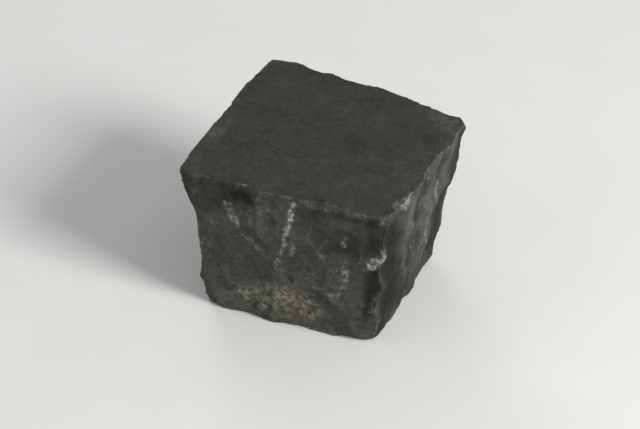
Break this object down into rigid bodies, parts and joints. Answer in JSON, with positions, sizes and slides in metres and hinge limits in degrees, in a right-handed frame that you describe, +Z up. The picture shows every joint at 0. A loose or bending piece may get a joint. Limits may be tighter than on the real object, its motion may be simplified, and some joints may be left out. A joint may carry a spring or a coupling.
{
  "type": "basalt sett",
  "caption": "Black basalt paving sett with a flat sawn wearing face and bed, and four uneven cropped sides that lean in towards the bed.",
  "frame": {"origin": "centre of the bounding box at the bed, the sawn face that the sett lies on", "axes": "+Z up from the bed to the wearing face, +X along the paving course, and the front cleft faces -Y"},
  "size_m": [0.103, 0.1042, 0.08],
  "materials": {
    "basalt": "dry, dark grey fine-grained stone: sawn and worn smooth on top, rough cleft on the sides"
  },
  "bodies": {
    "root": {"sett": "basalt"}
  },
  "joints": []
}
